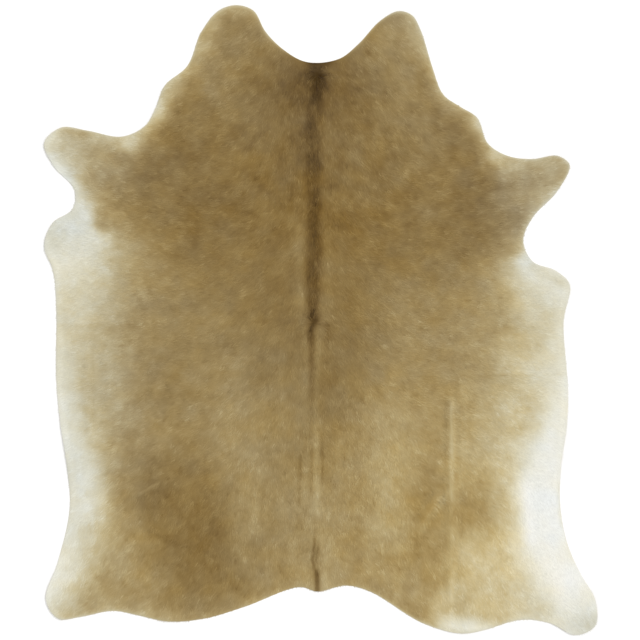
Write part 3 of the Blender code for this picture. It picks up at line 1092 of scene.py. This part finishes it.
# %% Headings of the hair
HEADINGS = (
    # place, out from the spine, y, heading
    ("nape", 60, 820, 25),
    ("neck", 330, 800, 75),
    ("neck flap", 300, 1010, 60),
    ("withers", 60, 560, 35),
    ("shoulder", 330, 520, 80),
    ("upper foreleg", 620, 560, 95),
    ("foreleg", 860, 560, 105),
    ("armpit", 720, 300, 75),
    ("ribs at the spine", 80, 200, 70),
    ("ribs", 420, 180, 88),
    ("flank", 820, 80, 80),
    ("loin at the spine", 80, -260, 40),
    ("loin", 420, -280, 70),
    ("belly", 820, -330, 70),
    ("rump at the spine", 80, -700, 8),
    ("rump", 420, -720, 38),
    ("hind knee", 780, -620, 40),
    ("hind shank", 860, -950, 30),
)
HEADING_REACH = 190.0
WHORLS = (
    # x, y, reach
    (*WHORL, 70),
    (-10, 820, 45),
)
DRIFT = 16.0
DRIFT_LAYERS = (
    # size of the cells, seed, strength
    (120, 41, 1.0),
    (45, 42, 0.7),
)


def hair_heading(x, y):
    """The unit direction in which the hair lies: the headings on both sides, each weighted by a
    bell curve of its distance, then turned outwards near a whorl and drifting a little."""
    spine = by_height(y, SPINE)
    lean_x, lean_y = np.zeros_like(x), np.full_like(y, -1e-6)
    for _, out, along, heading in HEADINGS:
        angle = math.radians(heading)
        for side in (-1, 1):
            away = ((x - spine - side * out) ** 2 + (y - along) ** 2) / HEADING_REACH**2
            weight = np.exp(-away / 2)
            lean_x += weight * side * math.sin(angle)
            lean_y -= weight * math.cos(angle)
    length = np.hypot(lean_x, lean_y)
    lean_x, lean_y = lean_x / length, lean_y / length
    for x_whorl, y_whorl, reach in WHORLS:
        apart = np.hypot(x - x_whorl, y - y_whorl) + 1e-6
        share = hump(apart / reach)
        lean_x = lean_x * (1 - share) + share * (x - x_whorl) / apart
        lean_y = lean_y * (1 - share) + share * (y - y_whorl) / apart
    angle = np.arctan2(lean_y, lean_x)
    angle += np.radians(DRIFT) * uneven(x, y, *DRIFT_LAYERS)
    return np.cos(angle), np.sin(angle)


print("headings:", len(HEADINGS), "places a side")

# %% [markdown]
# ## The hair
#
# The coat is some tens of millions of hairs about 20 mm long. Real strands would be far too
# many, and a flat skin with a bump pattern has no depth when it is seen from the side and no
# soft rim. So the hair is combed into locks, as it is on a real hide that has been walked on. A
# lock is a sliver with four corners: two at its root, a crest above them, and a tip. It is
# closed, it costs four triangles, and some 180,000 of them cover the skin.
#
# Roots are placed on a fine grid and shaken, so that they are even but not in rows.

# %% Roots of the locks
ROOT_STEP = 4.1
ROOT_INSET = 0.8
LOCK_LENGTH = (17.0, 27.0)
LOCK_WIDTH = (1.3, 3.4)
SCATTER = 13.0
SHORTEST_LOCK = 3.0
OVERHANG = (-3.0, 6.0)
SEED = 7


def scatter_roots(rng):
    """Places on a square grid, each shaken within its own cell, that are on the skin."""
    low, high = RIM.min(axis=0), RIM.max(axis=0)
    columns, rows = np.ceil((high - low) / ROOT_STEP).astype(int)
    x, y = np.meshgrid(np.arange(columns), np.arange(rows))
    x = low[0] + (x + rng.random(x.shape)) * ROOT_STEP
    y = low[1] + (y + rng.random(y.shape)) * ROOT_STEP
    x, y = x.ravel(), y.ravel()
    kept = in_batches(is_inside, x, y)
    x, y = x[kept], y[kept]
    from_edge = in_batches(edge_distance, x, y)
    kept = from_edge > ROOT_INSET
    return x[kept], y[kept], from_edge[kept]


rng = np.random.default_rng(SEED)
ROOT_X, ROOT_Y, ROOT_FROM_EDGE = scatter_roots(rng)
print("locks:", len(ROOT_X), "and", 4 * len(ROOT_X), "triangles")

# %% [markdown]
# A lock points along the coat's heading at its root, and its tip lies as high as the coat is at
# the tip, so that the hair follows every crease. All locks are worked out at once, as arrays
# with a row for each. At the cut edge they are short, and their tips hang over it.

# %% The shape of every lock
CREST_AT = 0.4
CREST_HEIGHT = 0.25
ROOT_SINK = 0.2
TIP_RISE = 0.15
TIP_SPREAD = 0.35
TIP_DROP = 1.5
ROUND_SIDE = 0.4
ROUND_TIP = 0.2


def unit(vectors):
    """The same directions with a length of 1."""
    return vectors / np.linalg.norm(vectors, axis=-1, keepdims=True)


def between(limits, share):
    """The value this share of the way between two limits."""
    return limits[0] + (limits[1] - limits[0]) * share


def comb():
    """The width of every lock, and where its tip lies in plan. It points along the coat's
    heading, give or take a scatter. Near the cut edge it is shorter, so that its tip is at most
    an overhang outside, and the fringe grows sparse towards the outline."""
    count = len(ROOT_X)
    along_x, along_y = hair_heading(ROOT_X, ROOT_Y)
    turn = np.radians(SCATTER) * rng.standard_normal(count)
    cos, sin = np.cos(turn), np.sin(turn)
    along = np.column_stack([along_x * cos - along_y * sin, along_x * sin + along_y * cos])
    width = between(LOCK_WIDTH, rng.random(count) ** 2)
    length = between(LOCK_LENGTH, rng.random(count))
    reach = ROOT_FROM_EDGE + between(OVERHANG, rng.random(count))
    length = np.clip(reach, SHORTEST_LOCK, length)
    return np.minimum(width, length / 4), ROOTS + length[:, None] * along


def lock_points():
    """The four corners of every lock, as an array of locks by corners by x, y and z. Its root is
    sunk in the bed of hair. Its tip lies on top of the coat as deep as the coat is there, and
    sinks towards the floor where it hangs over the cut edge."""
    root_z = top_height(ROOT_X, ROOT_Y, ROOT_FROM_EDGE, HAIR_BED)
    tip_z = top_height(*TIPS.T, TIP_FROM_EDGE, 1.0) + TIP_RISE
    tip_z += TIP_SPREAD * (rng.random(len(TIPS)) - 0.5)
    tip_z -= TIP_DROP * np.clip(-TIP_FROM_EDGE / FRINGE, 0, 1)
    run = TIPS - ROOTS
    across = unit(np.column_stack([-run[:, 1], run[:, 0]])) * LOCK_WIDTHS[:, None] / 2
    crest_z = root_z + CREST_AT * (tip_z - root_z) + CREST_HEIGHT * LOCK_WIDTHS / 2
    corners = [
        np.column_stack([ROOTS + across, root_z - ROOT_SINK]),
        np.column_stack([ROOTS - across, root_z - ROOT_SINK]),
        np.column_stack([ROOTS + CREST_AT * run, crest_z]),
        np.column_stack([TIPS, tip_z]),
    ]
    return np.stack(corners, axis=1)


def coat_slope(x, y, from_edge):
    """How much the top of the coat rises per millimetre along x and along y, from its heights
    a millimetre to either side."""
    rises = [
        top_height(x + dx, y + dy, from_edge, 1.0) - top_height(x - dx, y - dy, from_edge, 1.0)
        for dx, dy in ((1, 0), (0, 1))
    ]
    return np.stack(rises, axis=-1) / 2


def lock_normals():
    """Which way each corner of every lock faces, as unit vectors: square to the coat, rounded
    outwards at both sides of the root and forwards at the tip."""
    slope = coat_slope(ROOT_X, ROOT_Y, ROOT_FROM_EDGE)
    up = unit(np.column_stack([-slope, np.ones(len(slope))]))
    side = ROUND_SIDE * unit(LOCKS[:, 0] - LOCKS[:, 1])
    ahead = ROUND_TIP * unit(LOCKS[:, 3] - (LOCKS[:, 0] + LOCKS[:, 1]) / 2)
    return unit(np.stack([up + side, up - side, up, up + ahead], axis=1))


ROOTS = np.column_stack([ROOT_X, ROOT_Y])
LOCK_WIDTHS, TIPS = comb()
TIPS_INSIDE = in_batches(is_inside, *TIPS.T)
TIP_FROM_EDGE = np.where(TIPS_INSIDE, in_batches(edge_distance, *TIPS.T), -FRINGE)
LOCKS = lock_points()
LOCK_NORMALS = lock_normals()
print("locks reach from", LOCKS.min(axis=(0, 1)).round(1), "to", LOCKS.max(axis=(0, 1)).round(1))

# %% [markdown]
# Every corner of a lock gets a colour, from the coat's tone there and a difference that the whole
# strand shares. One mesh of all the locks would be too heavy, so they are joined into four, from
# the rump to the neck.

# %% Locks into four pieces of hair
HAIR_ZONES = ("hair_rump", "hair_loin", "hair_ribs", "hair_neck_and_legs")
LOCK_FACES = np.array([(0, 2, 3), (1, 3, 2), (0, 1, 2), (0, 3, 1)])
TONE_SCATTER = 0.7
STRIPE_SCATTER = 6.0
STRIPE_DARK = 40.0
SCATTER_TO = 252.0
SCATTER_FADE = 60.0
LEAST_SCATTER = 0.15
ROOT_SHADE = -2.0
TIP_SHADE = 1.5
LIGHTEST_LOCK = LIGHTEST + 4


def lock_colours():
    """The colour at each corner of every lock. The coat's tone is taken where the root and the
    tip lie. The whole lock shares its strand's own difference and a little scatter, which is
    more on the stripe, and it is darker at the root than at the tip."""
    root = coat_tone(ROOT_X, ROOT_Y, ROOT_FROM_EDGE)
    tip = coat_tone(*TIPS.T, TIP_FROM_EDGE)
    on_stripe = np.clip(-stripe_tone(ROOT_X, ROOT_Y) / STRIPE_DARK, 0, 1)
    own = (TONE_SCATTER + STRIPE_SCATTER * on_stripe) * rng.standard_normal(len(root))
    own *= np.maximum(below(root, SCATTER_TO, SCATTER_FADE), LEAST_SCATTER)
    own += strand_tone(*TIPS.T, tip)
    crest = between((root, tip), CREST_AT)
    tones = np.column_stack([root + ROOT_SHADE, root + ROOT_SHADE, crest, tip + TIP_SHADE])
    tones = np.minimum(tones + own[:, None], LIGHTEST_LOCK)
    return hair_colour(tones, coat_warmth(ROOT_X, ROOT_Y)[:, None])


def paint(piece, colours):
    """Stores a colour for each point of a piece, for its material to read."""
    layer = piece.data.attributes.new("coat_colour", "FLOAT_COLOR", "POINT")
    solid = np.column_stack([colours, np.ones(len(colours))])
    layer.data.foreach_set("color", solid.astype(np.float32).ravel())


def hair_pieces():
    """The locks in four pieces from the rump to the neck, with as many locks in each."""
    colours = lock_colours()
    order = np.argsort(ROOT_Y, kind="stable")
    pieces = []
    for name, part in zip(HAIR_ZONES, np.array_split(order, len(HAIR_ZONES)), strict=True):
        first = 4 * np.arange(len(part))[:, None, None]
        faces = (first + LOCK_FACES).reshape(-1, 3)
        piece = put_mesh(name, LOCKS[part].reshape(-1, 3), faces)
        paint(piece, colours[part].reshape(-1, 3))
        piece.data.normals_split_custom_set_from_vertices(LOCK_NORMALS[part].reshape(-1, 3))
        pieces.append(piece)
    return pieces


hair = hair_pieces()
print("pieces of hair:", [(piece.name, len(piece.data.polygons)) for piece in hair])

# %% [markdown]
# Between the locks the bed of hair shows, so the skin gets the same colours as the locks that
# grow on it. Its underside is bare leather, and so is its cut edge below the topmost row of
# faces, over which the hair comes down. That leather is the last finish further on.

# %% Colours of the skin, and which faces are bare leather
EDGE_LOOP = side_loop(np.arange((GRID + 1) ** 2).reshape(GRID + 1, GRID + 1))
HAIRY_EDGE_ROWS = 1


def skin_colours():
    """The colour at each point of the skin: the coat's on top and over the rounded edge, and
    the same again under it, where the leather's finish doesn't read it."""
    tones = coat_tone(SHEET_X, SHEET_Y, SHEET_FROM_EDGE)
    colours = hair_colour(tones, coat_warmth(SHEET_X, SHEET_Y)).reshape(-1, 3)
    return np.vstack([colours, colours, np.tile(colours[EDGE_LOOP], (EDGE_ROWS, 1))])


def bare_faces():
    """For each face, 1 where it is bare leather: all of the underside and the lower edge."""
    edge = np.arange(len(HIDE_FACES[2])) >= HAIRY_EDGE_ROWS * len(EDGE_LOOP)
    return np.concatenate([np.zeros(len(HIDE_FACES[0])), np.ones(len(HIDE_FACES[1])), edge])


paint(hide, skin_colours())
hide.data.polygons.foreach_set("material_index", bare_faces().astype(np.int32))
print("bare leather faces:", int(bare_faces().sum()), "of", len(hide.data.polygons))

# %% [markdown]
# A finish can be painted onto a flat picture, and that works best where a piece says how it
# unrolls. A rug is flat already: the coat side is seen from above and the underside beside it,
# and the edge becomes a narrow strip over both. A lock goes where it lies in plan.

# %% Flat maps of the pieces
MAP_NAME = "OFBake"
MAP_MARGIN = 0.01
STRIP_FROM = 0.96


def set_map(piece, name, corners):
    """Stores a flat map: a pair of numbers from 0 to 1 for each corner of each face."""
    layer = piece.data.uv_layers.new(name=name)
    layer.uv.foreach_set("vector", corners.astype(np.float32).ravel())


def in_plan(points, across, up):
    """Where points lie in plan, with their own box stretched over these two ranges."""
    low, high = points[:, :2].min(axis=0), points[:, :2].max(axis=0)
    share = (points[:, :2] - low) / (high - low)
    return np.column_stack([between(across, share[:, 0]), between(up, share[:, 1])])


def hide_map():
    """Coat side on the left, underside on the right and the edge in a strip above them."""
    count = len(EDGE_LOOP) + 1
    up = (MAP_MARGIN, STRIP_FROM - MAP_MARGIN)
    halves = [(MAP_MARGIN, 0.5 - MAP_MARGIN), (0.5 + MAP_MARGIN, 1 - MAP_MARGIN)]
    flat = (GRID + 1) ** 2
    top, under = (in_plan(HIDE_POINTS[:flat], across, up) for across in halves)
    strip = np.meshgrid(
        np.linspace(MAP_MARGIN, 1 - MAP_MARGIN, count),
        np.linspace(1 - MAP_MARGIN, STRIP_FROM, EDGE_ROWS + 2),
    )
    strip = np.stack(strip, axis=-1).reshape(-1, 2)
    strip_faces = grid_faces(np.arange(len(strip)).reshape(EDGE_ROWS + 2, count))[:, ::-1]
    parts = [top[HIDE_FACES[0]], under[HIDE_FACES[1] - flat], strip[strip_faces]]
    return np.vstack([part.reshape(-1, 2) for part in parts])


def lock_map(piece):
    """Every lock where it lies in plan."""
    points = np.empty(3 * len(piece.data.vertices), np.float32)
    piece.data.vertices.foreach_get("co", points)
    corners = np.empty(len(piece.data.loops), np.int32)
    piece.data.loops.foreach_get("vertex_index", corners)
    whole = (MAP_MARGIN, 1 - MAP_MARGIN)
    return in_plan(points.reshape(-1, 3), whole, whole)[corners]


set_map(hide, MAP_NAME, hide_map())
for piece in hair:
    set_map(piece, MAP_NAME, lock_map(piece))
print("maps:", [layer.name for layer in hide.data.uv_layers])

# %% [markdown]
# ## Finishes
#
# A finish is built from nodes. One helper adds a node with its settings and links, and colours
# are written as sRGB hex codes and turned into light by the function that the coat uses.
#
# **Lying cow hair.** Hair is keratin, clear and coloured inside, with a smooth surface, so a coat
# that lies flat has a soft gloss and no mirror. Its colour comes from the locks. Inside a lock,
# single hairs of 0.1 mm differ a little, and because that is too fine to show, they are drawn
# as a grain of about 0.4 mm.

# %% A helper for nodes, and the hair's finish
HAIR_GRAIN = 0.4
HAIR_SHADES = (0.95, 1.05)


def colour(code):
    """A hex colour as the light's red, green, blue and an alpha of 1."""
    return (*linear(srgb(code)).tolist(), 1.0)


def add_node(tree, kind, inputs=(), **settings):
    """Adds a node of this kind with its settings. Each of its inputs, by name or number, gets
    a plain value, or a link from another node's output."""
    node = tree.nodes.new(kind)
    for name, value in settings.items():
        setattr(node, name, value)
    for name, value in dict(inputs).items():
        if isinstance(value, bpy.types.NodeSocket):
            tree.links.new(value, node.inputs[name])
        else:
            node.inputs[name].default_value = value
    return node


def new_material(name, look):
    """A node material, its tree, and its one shader, which has the values of this look."""
    material = bpy.data.materials.new(name)
    material.use_nodes = True
    tree = material.node_tree
    tree.nodes.clear()
    surface = add_node(tree, "ShaderNodeBsdfPrincipled", look)
    add_node(tree, "ShaderNodeOutputMaterial", {"Surface": surface.outputs["BSDF"]})
    return material, tree, surface


def grained_coat(tree, size, detail, shades):
    """The coat's stored colours times a grain of this size in millimetres, which runs between
    a darker and a lighter shade, and the grain alone."""
    stored = add_node(tree, "ShaderNodeAttribute", attribute_name="coat_colour")
    place = add_node(tree, "ShaderNodeTexCoord").outputs["Object"]
    inputs = {"Vector": place, "Scale": 1 / (size * MM), "Detail": detail}
    grain = add_node(tree, "ShaderNodeTexNoise", inputs).outputs[0]
    inputs = {0: grain, "To Min": shades[0], "To Max": shades[1]}
    shade = add_node(tree, "ShaderNodeMapRange", inputs).outputs[0]
    inputs = {0: stored.outputs["Color"], 1: shade}
    return add_node(tree, "ShaderNodeVectorMath", inputs, operation="MULTIPLY").outputs[0], grain


def hair_material():
    """Locks of lying cow hair: their own colour, with the fine grain of single hairs."""
    look = {"Roughness": 0.55, "IOR": 1.55, "Specular IOR Level": 0.12}
    look |= {"Sheen Weight": 0.06, "Sheen Roughness": 0.5}
    material, tree, surface = new_material("lying cow hair", look)
    tinted, _ = grained_coat(tree, HAIR_GRAIN, 1.0, HAIR_SHADES)
    tree.links.new(tinted, surface.inputs["Base Color"])
    return material


hair_finish = hair_material()
for piece in hair:
    piece.data.materials.append(hair_finish)
print("finish:", hair_finish.name)

# %% [markdown]
# **Bed of hair.** Between the locks lie the short undercoat and the roots of the hair, in
# shade. It has the coat's colour, a little darker, with a felted grain of about 2 mm and next
# to no gloss.

# %% The finish between the locks
BED_GRAIN = 2.0
BED_SHADES = (0.78, 1.02)
BED_RELIEF = 0.5


def bed_material():
    """The bed of hair: the coat's colour under a felted grain, which also roughens it."""
    look = {"Roughness": 0.85, "IOR": 1.55, "Specular IOR Level": 0.12}
    material, tree, surface = new_material("bed of cow hair", look)
    tinted, grain = grained_coat(tree, BED_GRAIN, 3.0, BED_SHADES)
    inputs = {"Height": grain, "Strength": 0.6, "Distance": BED_RELIEF * MM}
    bump = add_node(tree, "ShaderNodeBump", inputs)
    tree.links.new(tinted, surface.inputs["Base Color"])
    tree.links.new(bump.outputs[0], surface.inputs["Normal"])
    return material


hide.data.materials.append(bed_material())
print("finish:", hide.data.materials[0].name)

# %% [markdown]
# **Flesh side.** The underside of a hair-on hide is chrome-tanned leather, shaved and sueded: a
# pale grey beige with broad paler and darker clouds, and a fine nap that gives it no gloss.

# %% The finish of the underside and the cut edge
NAP_GRAIN = 1.0
NAP_RELIEF = 0.2
CLOUD_SIZE = 90.0
FLESH_SHADES = ((0.35, "#BDB2A0"), (0.65, "#D3CAB9"))


def leather_material():
    """Sueded leather: clouds of two shades under a fine nap, quite matt."""
    look = {"Roughness": 0.95, "Specular IOR Level": 0.15}
    look |= {"Sheen Weight": 0.25, "Sheen Roughness": 0.6}
    material, tree, surface = new_material("sueded flesh side", look)
    place = add_node(tree, "ShaderNodeTexCoord").outputs["Object"]
    inputs = {"Vector": place, "Scale": 1 / (CLOUD_SIZE * MM), "Detail": 4.0}
    cloudy = add_node(tree, "ShaderNodeTexNoise", inputs)
    ramp = add_node(tree, "ShaderNodeValToRGB", {"Fac": cloudy.outputs[0]})
    for stop, (position, code) in zip(ramp.color_ramp.elements, FLESH_SHADES, strict=True):
        stop.position = position
        stop.color = colour(code)
    inputs = {"Vector": place, "Scale": 1 / (NAP_GRAIN * MM), "Detail": 2.0}
    nap = add_node(tree, "ShaderNodeTexNoise", inputs)
    inputs = {"Height": nap.outputs[0], "Strength": 0.5, "Distance": NAP_RELIEF * MM}
    bump = add_node(tree, "ShaderNodeBump", inputs)
    tree.links.new(ramp.outputs[0], surface.inputs["Base Color"])
    tree.links.new(bump.outputs[0], surface.inputs["Normal"])
    return material


hide.data.materials.append(leather_material())
print("finish:", hide.data.materials[1].name)

# %% [markdown]
# ## Floor and light
#
# A plain studio: a matt white floor, light from all round so that the tan isn't shaded, and one
# broad soft light from the upper right, which draws out the grain and the creases. The light's
# strengths add up to a little over 1 on a level surface. The locks shade one another by that
# much, so that a colour in the tables comes out as that colour in the picture. A sun of strength
# pi lights what faces it by 1, and a level surface by the sine of the sun's height, so the key's
# share is multiplied by the one and divided by the other.

# %% Floor, surrounding light and key light
FLOOR_SIZE = 60000.0
FLOOR_DEPTH = 0.5
FLOOR_COLOUR = "#FAFAF9"
AMBIENT = 0.84
KEY_SHARE = 0.32
KEY_ELEVATION = 58.0
KEY_AZIMUTH = 35.0
KEY_SOFTNESS = 30.0


def studio_floor():
    """A square floor just under the rug, in matt paint."""
    half = FLOOR_SIZE / 2
    corners = np.array([(-1, -1, 0), (1, -1, 0), (1, 1, 0), (-1, 1, 0)]) * half
    floor = put_mesh("floor", corners - [0, 0, FLOOR_DEPTH], np.array([[0, 1, 2, 3]]))
    look = {"Base Color": colour(FLOOR_COLOUR), "Roughness": 0.9, "Specular IOR Level": 0.1}
    floor.data.materials.append(new_material("matt white floor paint", look)[0])
    return floor


def surrounding_light():
    """An even white light from every direction."""
    world = bpy.data.worlds.new("studio")
    world.use_nodes = True
    background = world.node_tree.nodes["Background"]
    background.inputs["Color"].default_value = (1, 1, 1, 1)
    background.inputs["Strength"].default_value = AMBIENT
    bpy.context.scene.world = world


def key_light():
    """One broad light, its height and side given as angles."""
    data = bpy.data.lights.new("key", "SUN")
    data.angle = math.radians(KEY_SOFTNESS)
    data.energy = KEY_SHARE * math.pi / math.sin(math.radians(KEY_ELEVATION))
    key = bpy.data.objects.new("key_light", data)
    key.rotation_euler = (0, math.radians(90 - KEY_ELEVATION), math.radians(KEY_AZIMUTH))
    bpy.context.scene.collection.objects.link(key)


floor = studio_floor()
surrounding_light()
key_light()
bpy.context.scene.view_settings.view_transform = "Standard"
print("light on a level surface:", AMBIENT + KEY_SHARE)

# %% [markdown]
# ## Onto the body
#
# Every piece of the rug, the skin and its four pieces of hair, rides on the part's one body.


for piece in [hide, *hair]:
    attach(piece, "root")
